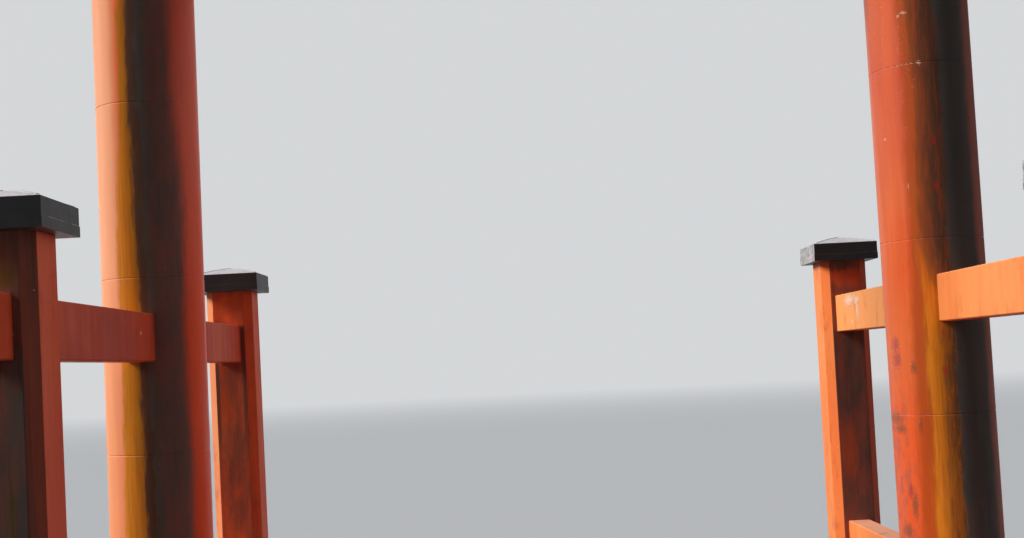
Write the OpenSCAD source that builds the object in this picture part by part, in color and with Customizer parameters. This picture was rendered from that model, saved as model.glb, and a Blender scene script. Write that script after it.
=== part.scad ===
// Shrine gate of the braced kind: two round pillars under a swept double lintel,
// each pillar steadied by a capped square post in front and one behind.
// X runs across the passage, Y through it, Z up. The origin is on the ground, midway between the pillars.

/* [Pillars] */
// Distance between the pillars' axes at the foot
pillar_spacing = 6320; // [5600:10:7600]
// Diameter of a pillar
pillar_d = 800; // [700:10:900]
// How far each pillar leans in towards the other, in degrees
pillar_lean = 0.37; // [0:0.01:0.8]
// Width of the ring seam between two courses of a pillar
seam_w = 12; // [6:1:30]
// Depth of the ring seam
seam_deep = 4; // [2:1:12]
// Height of the first ring seam above the ground
seam_first = 1155; // [900:5:1800]
// Distance from one ring seam to the next, the height of a course
seam_pitch = 1375; // [1000:5:2000]

/* [Pillar feet] */
// Height of the rounded stone under a pillar
pillar_stone_h = 380; // [250:10:460]
// Radius of the stone where it meets the ground
pillar_stone_r = 700; // [620:10:850]
// Radius of the stone's flat top
pillar_stone_top_r = 520; // [480:10:600]
// Height of the stone's rounded shoulder
pillar_stone_round_h = 180; // [60:10:240]
// Height of the black sleeve round a pillar's foot
pillar_sleeve_h = 470; // [200:10:560]
// Thickness of a sleeve
sleeve_t = 8; // [4:1:16]
// Height of the folded lip at the top of a sleeve
sleeve_lip_h = 40; // [20:5:80]
// How far the lip stands out from the sleeve
sleeve_lip_out = 10; // [4:1:20]

/* [Bracing posts] */
// Distance from a pillar's axis to a post's axis, along the passage
post_reach = 3030; // [2400:10:3600]
// Width of a square post
post_w = 465; // [400:5:540]
// Width of the flat planed off each corner of a post, measured along one face
post_chamfer = 78; // [40:2:100]
// How far a post stands above the upper tie
post_above_tie = 355; // [200:5:600]
// Height of the stone under a post
post_stone_h = 300; // [200:10:420]
// Width of the post stone at the ground
post_stone_w = 800; // [720:10:900]
// Width of the post stone's flat top
post_stone_top_w = 640; // [600:10:700]
// Height of the vertical side of the post stone
post_stone_side_h = 190; // [100:10:190]
// Height of the black sleeve round a post's foot
post_sleeve_h = 420; // [200:10:600]

/* [Ties] */
// Width of a tie, the beam that runs through two posts and a pillar
tie_w = 220; // [160:5:260]
// Height of a tie
tie_h = 370; // [300:5:420]
// Underside of the lower tie above the ground
lower_tie_z = 965; // [900:5:1200]
// Underside of the upper tie above the ground
upper_tie_z = 3250; // [3000:5:3600]
// How far a tie stands out beyond the post
tie_nose = 350; // [150:10:500]
// Eased edge of a tie
tie_edge = 9; // [4:1:20]

/* [Post caps] */
// Width of a post cap
cap_w = 640; // [580:5:720]
// Thickness of the cap's upright edge
cap_t = 175; // [120:5:220]
// Height of the lapped hem round the foot of the edge
cap_hem_h = 65; // [30:5:90]
// How far the hem stands out
cap_hem_out = 3; // [1:1:8]
// Rise of the cap's roof to its peak
cap_peak = 80; // [50:5:140]
// How far each roof slope bellies out
cap_belly = 9; // [2:1:14]

/* [Through beam] */
// Underside of the through beam above the ground
beam_z = 6350; // [6000:10:7000]
// Height of the through beam
beam_h = 600; // [480:10:640]
// Thickness of the through beam
beam_t = 250; // [200:10:320]
// How far the through beam stands out beyond a pillar's axis
beam_out = 1350; // [1000:10:1600]
// Eased edge of the through beam
beam_edge = 12; // [5:1:25]
// Length of a wedge that shows outside the pillar
wedge_out = 190; // [100:10:260]
// Length of a wedge inside the pillar
wedge_in = 260; // [160:10:300]
// Thickness of a wedge at its driven end
wedge_thick = 95; // [80:5:120]
// Thickness of a wedge at its tip
wedge_thin = 45; // [30:5:60]
// Width of a wedge
wedge_w = 170; // [120:10:190]
// Width of the strut between the through beam and the lintel
strut_w = 430; // [300:10:560]
// Thickness of the strut
strut_t = 190; // [140:10:240]
// Planed corner of the strut
strut_edge = 22; // [8:2:40]

/* [Lintel] */
// Gap between the through beam and the lower lintel at the middle
strut_h = 850; // [700:10:1100]
// Height of the lower lintel at the middle
lower_h = 470; // [380:10:560]
// Thickness of the lower lintel
lower_t = 420; // [340:10:500]
// How far the lower lintel's underside runs beyond a pillar's axis at the foot
lower_out = 1780; // [1500:10:2000]
// Height of the upper lintel at the middle
upper_h = 300; // [240:10:400]
// Thickness of the upper lintel
upper_t = 540; // [440:10:620]
// How far the upper lintel's underside runs beyond that of the lower one
upper_out = 290; // [150:10:420]
// Rake of the lintel ends from upright, in degrees
end_rake = 14; // [6:1:22]
// Rise of the lintel's underside from its middle to its ends
under_rise = 300; // [160:10:360]
// Further rise of the lower lintel's top at the ends
lower_swell = 50; // [10:5:90]
// Further rise of the upper lintel's top at the ends
upper_swell = 70; // [10:5:110]
// How sharply the lintel sweeps up towards its ends
sweep_power = 2.3; // [2:0.1:3]

/* [Roof of the lintel] */
// Width of the black roof over the lintel
roof_w = 680; // [600:10:760]
// Height of the roof's upright edge
roof_edge_h = 75; // [50:5:110]
// Height of the roof's ridge above its underside
roof_ridge_h = 190; // [150:5:260]
// Overhang of the roof at each end of the upper lintel
roof_out = 55; // [20:5:100]
// Distance from the roof's middle joint to the joint on either side
roof_joint_out = 2650; // [2000:10:3200]

/* [Ring capitals] */
// Height of the ring between a pillar and the lintel, on the pillar's axis
ring_h = 200; // [160:10:260]
// Diameter of the ring
ring_d = 1060; // [980:10:1160]
// Radius of the ring's rounded edge
ring_round = 45; // [20:5:60]

/* [Hidden] */
left = -1;
right = 1;
front = -1;
back = 1;
inward = -1;
outward = 1;
vermilion = [0.80, 0.20, 0.07];
black = [0.09, 0.09, 0.10];
granite = [0.56, 0.55, 0.53];
// Clearance round a beam in its slot and between a sleeve and what it wraps
fit_gap = 0.3;
// Sides of a full circle
round_sides = 96;
// How far a piece runs on past where it is cut to its neighbour
spare = 500;

pillar_r = pillar_d / 2;
tie_middle_z = (lower_tie_z + upper_tie_z + tie_h) / 2;
post_top_z = upper_tie_z + tie_h + post_above_tie;
post_x = pillar_x(tie_middle_z);
tie_half = post_reach + post_w / 2 + tie_nose;
beam_half = pillar_x(beam_z) + beam_out;

// Where a pillar's axis stands across the passage at height z
function pillar_x(z) = pillar_spacing / 2 - (z - pillar_stone_h) * tan(pillar_lean);

// Each curve of the lintel is a table of [x, z] at the same stations, so that pieces meet on one line
stations_each_side = 26;
lower_half = pillar_spacing / 2 + lower_out;
upper_half = lower_half + upper_out;
under_z = beam_z + beam_h + strut_h;
station_span = upper_half + roof_out + spare;
function sweep(x) = pow(abs(x) / upper_half, sweep_power);
function curve(middle_z, rise) = [
  for (i = [-stations_each_side : stations_each_side])
    let (x = i * station_span / stations_each_side) [x, middle_z + rise * sweep(x)]
];
under_curve = curve(under_z, under_rise);
joint_curve = curve(under_z + lower_h, under_rise + lower_swell);
top_curve = curve(under_z + lower_h + upper_h, under_rise + lower_swell + upper_swell);
lower_top_half = raked(lower_half, under_curve, joint_curve);
upper_top_half = raked(upper_half, joint_curve, top_curve);
roof_half = upper_top_half + roof_out;
ring_x = pillar_x(under_z);
ring_z = lookup(ring_x, under_curve) - ring_h;

// Half length of a lintel's top, out from its underside's half length by the rake of its end
function raked(half, low, high) = half + (lookup(half, high) - lookup(half, low)) * tan(end_rake);
// The stretch of a curve from one place across the passage to another
function stretch(table, from, to) = concat(
  [[from, lookup(from, table)]],
  [for (p = table) if (p[0] > from + 1 && p[0] < to - 1) p],
  [[to, lookup(to, table)]]
);
function backwards(list) = [for (i = [len(list) - 1 : -1 : 0]) list[i]];

// A rectangle with its corners cut off, centred; cut is measured along a side
module eased_rectangle(wide, high, cut) {
  x = wide / 2;
  y = high / 2;
  polygon([
    [cut - x, -y], [x - cut, -y], [x, cut - y], [x, y - cut],
    [x - cut, y], [cut - x, y], [-x, y - cut], [-x, cut - y]
  ]);
}

// An outline drawn in X and Z, given thickness along Y
module thick(t) {
  rotate([90, 0, 0])
    linear_extrude(height = t, center = true) children();
}

// A profile drawn in X and Z run both ways and kept where the two runs cross, as on a hipped roof
module both_ways(wide) {
  intersection() {
    thick(wide) children();
    rotate([0, 0, 90]) thick(wide) children();
  }
}

// All the room between two heights
module between(low, high) {
  translate([-upper_half, -upper_half, low])
    cube([2 * upper_half, 2 * upper_half, high - low]);
}

// All the room above the underside of the lower lintel, as deep as the ring capitals
module above_under_curve() {
  high = under_z + under_rise + spare;
  thick(ring_d + spare)
    polygon(concat(
      stretch(under_curve, -upper_half, upper_half),
      [[upper_half, high], [-upper_half, high]]
    ));
}

// Turns a piece standing on its axis to a pillar's place and lean
module on_pillar_axis(side) {
  translate([side * pillar_spacing / 2, 0, pillar_stone_h])
    rotate([0, -side * pillar_lean, 0]) children();
}

module at_post(side, end) {
  translate([side * post_x, end * post_reach, 0]) children();
}

module pillar_profile(height) {
  seams = [for (z = [seam_first : seam_pitch : ring_z - seam_w]) z - pillar_stone_h];
  polygon(concat(
    [[0, -spare], [pillar_r, -spare]],
    [for (z = seams) for (step = [-1 : 1]) [pillar_r - (step == 0 ? seam_deep : 0), z + step * seam_w / 2]],
    [[pillar_r, height], [0, height]]
  ));
}

module pillar(side) {
  color(vermilion)
    difference() {
      intersection() {
        on_pillar_axis(side)
          rotate_extrude($fn = round_sides) pillar_profile(ring_z);
        between(pillar_stone_h, ring_z);
      }
      tie_slot(side, lower_tie_z);
      tie_slot(side, upper_tie_z);
      beam_slot();
      wedge(side, inward);
      wedge(side, outward);
    }
}

module pillar_stone(side) {
  shoulder_w = pillar_stone_r - pillar_stone_top_r;
  side_h = pillar_stone_h - pillar_stone_round_h;
  steps = 8;
  color(granite)
    translate([side * pillar_spacing / 2, 0, 0])
      rotate_extrude($fn = round_sides)
        polygon(concat(
          [[0, 0], [pillar_stone_r, 0]],
          [
            for (i = [0 : steps])
              let (a = 90 * i / steps)
                [pillar_stone_top_r + shoulder_w * cos(a), side_h + pillar_stone_round_h * sin(a)]
          ],
          [[0, pillar_stone_h]]
        ));
}

module pillar_sleeve(side) {
  inner_r = pillar_r + fit_gap;
  outer_r = inner_r + sleeve_t;
  lip_r = outer_r + sleeve_lip_out;
  lip_z = pillar_sleeve_h - sleeve_lip_h;
  color(black)
    intersection() {
      on_pillar_axis(side)
        rotate_extrude($fn = round_sides)
          polygon([
            [inner_r, -spare], [outer_r, -spare],
            [outer_r, lip_z], [lip_r, lip_z],
            [lip_r, pillar_sleeve_h], [inner_r, pillar_sleeve_h]
          ]);
      between(pillar_stone_h, pillar_stone_h + 2 * pillar_sleeve_h);
    }
}

module ring_capital(side) {
  r = ring_d / 2;
  high = ring_h + spare;
  steps = 6;
  color(black)
    difference() {
      translate([side * ring_x, 0, ring_z])
        rotate_extrude($fn = round_sides)
          polygon(concat(
            [[0, 0]],
            [
              for (i = [0 : steps])
                let (a = 90 * i / steps)
                  [r - ring_round + ring_round * sin(a), ring_round - ring_round * cos(a)]
            ],
            [[r, high], [0, high]]
          ));
      above_under_curve();
    }
}

// A post's outline, grown all round
module post_outline(grown) {
  wide = post_w + 2 * grown;
  eased_rectangle(wide, wide, post_chamfer + (2 - sqrt(2)) * grown);
}

module post(side, end) {
  color(vermilion)
    difference() {
      at_post(side, end)
        translate([0, 0, post_stone_h])
          linear_extrude(height = post_top_z - post_stone_h)
            post_outline(0);
      tie_slot(side, lower_tie_z);
      tie_slot(side, upper_tie_z);
    }
}

module post_stone(side, end) {
  wide = post_stone_w / 2;
  top = post_stone_top_w / 2;
  color(granite)
    at_post(side, end)
      both_ways(post_stone_w)
        polygon([
          [-wide, 0], [wide, 0], [wide, post_stone_side_h],
          [top, post_stone_h], [-top, post_stone_h], [-wide, post_stone_side_h]
        ]);
}

module post_sleeve(side, end) {
  lip_z = post_sleeve_h - sleeve_lip_h;
  color(black)
    at_post(side, end)
      translate([0, 0, post_stone_h]) {
        linear_extrude(height = post_sleeve_h) post_hoop(sleeve_t);
        translate([0, 0, lip_z])
          linear_extrude(height = sleeve_lip_h) post_hoop(sleeve_t + sleeve_lip_out);
      }
}

// The outline of a closed band of thickness t round a post
module post_hoop(t) {
  difference() {
    post_outline(fit_gap + t);
    post_outline(fit_gap);
  }
}

// The upright edge with its lapped hem, under four slopes that belly out a little
module post_cap(side, end) {
  half = cap_w / 2;
  hem = half + cap_hem_out;
  steps = 6;
  function slope(u) = cap_t + cap_peak * (1 - abs(u)) + 4 * cap_belly * abs(u) * (1 - abs(u));
  color(black)
    at_post(side, end)
      translate([0, 0, post_top_z])
        both_ways(2 * hem)
          polygon(concat(
            [[-hem, cap_hem_h], [-hem, 0], [hem, 0], [hem, cap_hem_h], [half, cap_hem_h]],
            [for (i = [steps : -1 : -steps]) [half * i / steps, slope(i / steps)]],
            [[-half, cap_hem_h]]
          ));
}

// The slot for a tie through two posts and a pillar; the tie lies on its floor
module tie_slot(side, z) {
  translate([side * post_x - tie_w / 2 - fit_gap, -tie_half, z])
    cube([tie_w + 2 * fit_gap, 2 * tie_half, tie_h + fit_gap]);
}

module tie(side, z) {
  color(vermilion)
    translate([side * post_x, 0, z + tie_h / 2])
      thick(2 * tie_half) eased_rectangle(tie_w, tie_h, tie_edge);
}

// The slot for the through beam in both pillars; the beam lies on its floor and the wedges press on its top
module beam_slot() {
  translate([-beam_half, -beam_t / 2 - fit_gap, beam_z])
    cube([2 * beam_half, beam_t + 2 * fit_gap, beam_h]);
}

module through_beam() {
  color(vermilion)
    translate([0, 0, beam_z + beam_h / 2])
      rotate([90, 0, 90])
        linear_extrude(height = 2 * beam_half, center = true)
          eased_rectangle(beam_t, beam_h, beam_edge);
}

// A wedge driven in on top of the through beam, from outside the gate or from inside it
module wedge(side, way) {
  z = beam_z + beam_h;
  face = pillar_r + wedge_out;
  tip = pillar_r - wedge_in;
  color(vermilion)
    translate([side * pillar_x(z), 0, z])
      thick(wedge_w)
        polygon([
          [side * way * face, 0], [side * way * tip, 0],
          [side * way * tip, wedge_thin], [side * way * face, wedge_thick]
        ]);
}

module middle_strut() {
  color(vermilion)
    difference() {
      translate([0, 0, beam_z + beam_h])
        linear_extrude(height = strut_h + spare)
          eased_rectangle(strut_w, strut_t, strut_edge);
      above_under_curve();
    }
}

module lower_lintel() {
  color(vermilion)
    thick(lower_t)
      polygon(concat(
        stretch(under_curve, -lower_half, lower_half),
        backwards(stretch(joint_curve, -lower_top_half, lower_top_half))
      ));
}

module upper_lintel() {
  color(vermilion)
    thick(upper_t)
      polygon(concat(
        stretch(joint_curve, -upper_half, upper_half),
        backwards(stretch(top_curve, -upper_top_half, upper_top_half))
      ));
}

// A length of the ridged roof along the upper lintel's top; the gate's two ends are raked like the lintel's
module roof_length(from, to) {
  w = roof_w / 2;
  section = [[-w, 0], [w, 0], [w, roof_edge_h], [0, roof_ridge_h], [-w, roof_edge_h]];
  sides = len(section);
  line = stretch(top_curve, from, to);
  last = len(line) - 1;
  points = [
    for (i = [0 : last])
      for (s = section)
        let (out = abs(line[i][0]) < roof_half ? 0 : sign(line[i][0]) * s[1] * tan(end_rake))
          [line[i][0] + out, s[0], line[i][1] + s[1]]
  ];
  skin = [
    for (i = [0 : last - 1])
      for (k = [0 : sides - 1])
        let (a = i * sides + k, b = i * sides + (k + 1) % sides)
          [a, a + sides, b + sides, b]
  ];
  ends = [[for (k = [0 : sides - 1]) k], [for (k = [sides - 1 : -1 : 0]) last * sides + k]];
  color(black)
    polyhedron(points, concat(skin, ends));
}

pillar(left);  // left_pillar
pillar(right);  // right_pillar
pillar_stone(left);  // left_pillar_stone
pillar_stone(right);  // right_pillar_stone
pillar_sleeve(left);  // left_pillar_sleeve
pillar_sleeve(right);  // right_pillar_sleeve
ring_capital(left);  // left_ring_capital
ring_capital(right);  // right_ring_capital
post(left, front);  // front_left_post
post(left, back);  // back_left_post
post(right, front);  // front_right_post
post(right, back);  // back_right_post
post_stone(left, front);  // front_left_post_stone
post_stone(left, back);  // back_left_post_stone
post_stone(right, front);  // front_right_post_stone
post_stone(right, back);  // back_right_post_stone
post_sleeve(left, front);  // front_left_post_sleeve
post_sleeve(left, back);  // back_left_post_sleeve
post_sleeve(right, front);  // front_right_post_sleeve
post_sleeve(right, back);  // back_right_post_sleeve
post_cap(left, front);  // front_left_post_cap
post_cap(left, back);  // back_left_post_cap
post_cap(right, front);  // front_right_post_cap
post_cap(right, back);  // back_right_post_cap
tie(left, upper_tie_z);  // left_upper_tie
tie(right, upper_tie_z);  // right_upper_tie
tie(left, lower_tie_z);  // left_lower_tie
tie(right, lower_tie_z);  // right_lower_tie
through_beam();
wedge(left, outward);  // left_outer_wedge
wedge(left, inward);  // left_inner_wedge
wedge(right, outward);  // right_outer_wedge
wedge(right, inward);  // right_inner_wedge
middle_strut();
lower_lintel();
upper_lintel();
roof_length(-roof_half, -roof_joint_out);  // left_roof_end
roof_length(-roof_joint_out, 0);  // left_roof_middle
roof_length(0, roof_joint_out);  // right_roof_middle
roof_length(roof_joint_out, roof_half);  // right_roof_end
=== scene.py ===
import math
from functools import cached_property
from typing import NamedTuple

import bmesh
import bpy
from bpy.props import FloatProperty, FloatVectorProperty, PointerProperty
from mathutils import Matrix, Vector


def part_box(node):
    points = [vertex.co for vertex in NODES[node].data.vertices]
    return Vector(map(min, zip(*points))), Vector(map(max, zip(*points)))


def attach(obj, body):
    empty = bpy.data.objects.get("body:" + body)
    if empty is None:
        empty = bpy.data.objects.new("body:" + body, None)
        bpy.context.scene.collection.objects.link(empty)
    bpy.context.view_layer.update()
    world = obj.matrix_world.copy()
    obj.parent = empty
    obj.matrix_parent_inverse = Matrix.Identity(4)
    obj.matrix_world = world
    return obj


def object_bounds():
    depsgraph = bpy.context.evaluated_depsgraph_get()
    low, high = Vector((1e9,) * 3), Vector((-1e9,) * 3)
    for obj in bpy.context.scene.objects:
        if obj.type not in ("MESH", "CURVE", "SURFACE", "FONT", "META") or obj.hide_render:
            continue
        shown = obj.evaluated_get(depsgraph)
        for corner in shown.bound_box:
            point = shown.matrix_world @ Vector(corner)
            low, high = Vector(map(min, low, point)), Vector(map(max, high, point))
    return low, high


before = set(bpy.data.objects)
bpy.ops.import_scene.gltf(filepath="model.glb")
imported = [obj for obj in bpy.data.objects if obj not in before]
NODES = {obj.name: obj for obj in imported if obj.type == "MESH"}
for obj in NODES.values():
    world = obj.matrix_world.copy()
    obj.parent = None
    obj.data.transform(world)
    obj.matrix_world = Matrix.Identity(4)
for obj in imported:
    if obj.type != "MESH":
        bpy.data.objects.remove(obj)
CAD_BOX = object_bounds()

bl_info = {
    "name": "Braced Shrine Gate",
    "version": (1, 0, 0),
    "blender": (4, 5, 0),
    "location": "3D View > Sidebar > Gate",
    "description": "Paints and trims a braced shrine gate and sets it on a studio floor",
    "category": "Object",
}

LEFT = -1
RIGHT = 1
SIDE_NAMES = {LEFT: "left", RIGHT: "right"}


def middle_of(name):
    """Centre of a node's box."""
    low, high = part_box(name)
    return (low + high) / 2


# Landmarks of the gate, in metres, read from the frame
FOOT = middle_of("right_pillar_stone")
FOOT_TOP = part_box("right_pillar_stone")[1].z
HEAD = middle_of("right_ring_capital")
PILLAR_R = (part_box("right_pillar")[1].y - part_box("right_pillar")[0].y) / 2
PILLAR_DRIFT = (HEAD.x - FOOT.x) / (HEAD.z - FOOT_TOP)
POST = middle_of("back_right_post")
POST_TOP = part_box("back_right_post")[1].z
FAR_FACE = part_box("back_right_post")[0].y
NEAR_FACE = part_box("front_left_post")[0].y
TIE_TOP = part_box("right_upper_tie")[1].z
TIE_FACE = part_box("right_upper_tie")[0].x
TIE_R = (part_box("right_upper_tie")[1].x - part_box("right_upper_tie")[0].x) / 2
GATE_TOP = CAD_BOX[1].z

# Ways that a surface can face; light and weather come from the left of the gate, and paint that is paler on
# the side facing the light is partly fading and partly painted light
UP = (0.0, 0.0, 1.0)
FORWARD = (0.0, -1.0, 0.0)
LEFTWARD = (-1.0, 0.0, 0.0)
RIGHTWARD = (1.0, 0.0, 0.0)
LIT_WEATHER_SIDE = (-0.95, 0.10, 0.30)

# Tints of age and dirt, and of painted light, painted shade and painted reflection, beside the colours that
# can be set below
PINK = (0.80, 0.17, 0.12)
ROSE = (0.93, 0.170, 0.10)
FRESH_RED = (0.95, 0.080, 0.010)
CRIMSON = (0.50, 0.03, 0.025)
PURPLE = (0.30, 0.045, 0.075)
SMUDGE = (0.36, 0.11, 0.10)
PALE_ORANGE = (1.0, 0.40, 0.125)
GOLDEN = (0.68, 0.285, 0.003)
RED_BROWN = (0.43, 0.066, 0.005)
DULL_OCHRE = (0.36, 0.085, 0.006)
OLIVE = (0.25, 0.105, 0.009)
OLIVE_BROWN = (0.16, 0.075, 0.040)
MOSS = (0.125, 0.082, 0.012)
DARK_BROWN = (0.098, 0.053, 0.040)
DUST = (0.30, 0.26, 0.26)
GREY_BLACK = (0.050, 0.044, 0.050)
RUST = (0.11, 0.045, 0.025)
GREY_GRAIN = (0.30, 0.29, 0.28)


def colour_prop(name, description, default):
    """A colour that can be set."""
    return FloatVectorProperty(
        name=name, description=description, default=default, subtype="COLOR", min=0, max=1)


def length_prop(name, description, default, least, most):
    """A length in metres that can be set, between a least and a most."""
    return FloatProperty(
        name=name, description=description, default=default, min=least, max=most, unit="LENGTH")


class GatePaint(bpy.types.PropertyGroup):
    """Colours and wear of the vermilion paint."""
    # Colours of the vermilion paint, of its ageing and of its painted light and painted shade.

    vermilion: colour_prop("Vermilion", "Paint as it was put on", (0.97, 0.125, 0.026))
    # paler paint on the lit weather side: partly fading, partly painted light
    bleached_and_lit: colour_prop("Bleached", "Paint where sun and weather have faded it", (0.94, 0.30, 0.085))
    # paler paint for chalking and for painted highlight on the left pillar's lit side and on top faces
    paler: colour_prop(
        "Chalky", "Paint gone chalky on the left pillar's weather side and on top faces", (1.0, 0.42, 0.22))
    # deep red of runs, and the painted shade on the right-facing side
    deep_and_shade: colour_prop("Deep", "Paint in runs, recesses and on the sheltered side", (0.46, 0.054, 0.030))
    # painted reflection: the ochre of the band between the lit side and the shade
    painted_bands: colour_prop("Tarnish", "Ochre film left by rain on the pillars", (0.77, 0.225, 0.006))
    # painted highlight: a bright line within that band
    amber_glint: colour_prop("Amber", "Bright line within the right pillar's tarnish, low down", (0.95, 0.31, 0.02))
    # dark brown of soiling, and of the painted shade on the pillars' dark strips and the posts' fronts
    grime_and_shade: colour_prop("Grime", "Dark brown dirt in runs and blotches", (0.112, 0.106, 0.099))
    # pale filler of flakes, also used for the painted highlight on top faces and the painted light in the
    # seams
    filler: colour_prop("Filler", "Pale filler that shows where paint has flaked", (0.92, 0.66, 0.50))
    gloss: FloatProperty(
        name="Gloss", description="Weight of the clear top coat", subtype="FACTOR",
        default=0.35, min=0, max=1)
    # also scales the painted shade that is laid with the soiling
    wear_and_shade: FloatProperty(
        name="Wear", description="How much dirt and flaking shows", subtype="FACTOR",
        default=1.0, min=0, max=2)


class GateMetal(bpy.types.PropertyGroup):
    """Colours of the black metalwork, and of the pale bloom and painted sky reflection on it."""

    black: colour_prop("Black", "Black finish of caps, roof, rings and sleeves", (0.020, 0.019, 0.021))
    # pale of chalking and of painted sky reflection on the weather side
    chalk_sheen: colour_prop("Chalk", "Pale chalking on the weather side", (0.50, 0.475, 0.475))
    bleached_and_lit: colour_prop("Bleached", "Chalking on top faces, under the open sky", (0.66, 0.65, 0.68))
    # strength of the chalking and the painted sky reflection together
    sheen_and_chalking: FloatProperty(
        name="Chalking", description="How far the chalking has gone", subtype="FACTOR",
        default=1.0, min=0, max=2)


class GateStone(bpy.types.PropertyGroup):
    """Colours of the granite feet."""

    pale: colour_prop("Pale grain", "Feldspar grain", (0.50, 0.49, 0.46))
    dark: colour_prop("Dark grain", "Mica grain", (0.10, 0.10, 0.10))
    damp: colour_prop("Damp", "Stone darkened by damp near the ground", (0.17, 0.165, 0.14))


class GateTrim(bpy.types.PropertyGroup):
    """Sizes of the small trim."""

    seam_pitch: length_prop("Seam pitch", "Distance between folded seams of the roof", 0.90, 0.3, 2)
    seam_width: length_prop("Seam width", "Width of a folded seam", 0.034, 0.01, 0.08)
    seam_height: length_prop("Seam height", "Height of a folded seam", 0.010, 0.002, 0.03)
    ridge_width: length_prop("Ridge width", "Width of the ridge strip", 0.15, 0.05, 0.3)
    ridge_short: length_prop(
        "Ridge stop", "How far the ridge strip stops short of the roof's ends", 0.14, 0.1, 0.5)
    hip_width: length_prop("Hip width", "Width of a cap's folded hip", 0.022, 0.01, 0.06)
    hip_height: length_prop("Hip height", "Height of a cap's folded hip", 0.004, 0.002, 0.02)
    hip_short: length_prop(
        "Hip stop", "How far a hip's fold stops short of the cap's corner", 0.035, 0.01, 0.1)
    lap_width: length_prop("Lap width", "Width of a sleeve's lap", 0.060, 0.02, 0.15)
    lap_height: length_prop("Lap height", "Thickness of a sleeve's lap", 0.003, 0.001, 0.01)


class GateStage(bpy.types.PropertyGroup):
    """Floor, light and camera."""

    floor_radius: length_prop("Floor radius", "Radius of the floor", 160, 60, 400)
    floor_colour: colour_prop("Floor", "Colour of the floor", (0.50, 0.515, 0.535))
    backdrop: colour_prop("Backdrop", "Colour behind the gate", (0.66, 0.675, 0.69))
    key_power: FloatProperty(
        name="Key", description="Strength of the light from the left", default=4.25, min=0, max=10)
    fill_power: FloatProperty(
        name="Fill", description="Strength of the light from the right", default=0.84, min=0, max=10)
    wash_power: FloatProperty(
        name="Lintel wash", description="Strength of the light thrown up at the lintel from the front",
        default=1.0, min=0, max=10)
    ambient: FloatProperty(
        name="Ambient", description="Brightness of the surroundings as a light", default=0.10, min=0, max=2)
    eye: FloatVectorProperty(
        name="Eye", description="Where the camera stands", subtype="XYZ", unit="LENGTH",
        default=(-0.280, -10.510, 3.085))
    lens: FloatProperty(
        name="Lens", description="Focal length in millimetres on a 36 mm wide sensor",
        default=45.98, min=20, max=120)
    lift: FloatProperty(
        name="Lift", description="Upward shift of the picture, as a share of its width",
        default=0.05, min=0, max=0.2)
    turn: FloatProperty(
        name="Turn", description="Heading to the right of straight through the gate", subtype="ANGLE",
        default=0.0011)
    tilt: FloatProperty(
        name="Tilt", description="Upward tilt of the camera", subtype="ANGLE", default=0.0339)
    roll: FloatProperty(
        name="Roll", description="Turn of the camera about its own axis", subtype="ANGLE", default=0.0509)


def arithmetic(operation, reflected=False):
    """A method that adds a Math node; reflected puts the other value first."""
    def method(self, other=0.0):
        first, second = (other, self) if reflected else (self, other)
        return self.finish.node("ShaderNodeMath", {"operation": operation}, {0: first, 1: second})
    return method


class Wire:
    """A number or colour on its way through a material; arithmetic on it adds Math nodes."""

    def __init__(self, finish, socket):
        self.finish = finish
        self.socket = socket

    __add__ = arithmetic("ADD")
    __radd__ = arithmetic("ADD", reflected=True)
    __sub__ = arithmetic("SUBTRACT")
    __rsub__ = arithmetic("SUBTRACT", reflected=True)
    __mul__ = arithmetic("MULTIPLY")
    __rmul__ = arithmetic("MULTIPLY", reflected=True)
    __truediv__ = arithmetic("DIVIDE")
    __rtruediv__ = arithmetic("DIVIDE", reflected=True)
    __mod__ = arithmetic("FLOORED_MODULO")
    __abs__ = arithmetic("ABSOLUTE")
    up_to = arithmetic("MINIMUM")
    at_least = arithmetic("MAXIMUM")
    turn_from = arithmetic("ARCTAN2")


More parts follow.
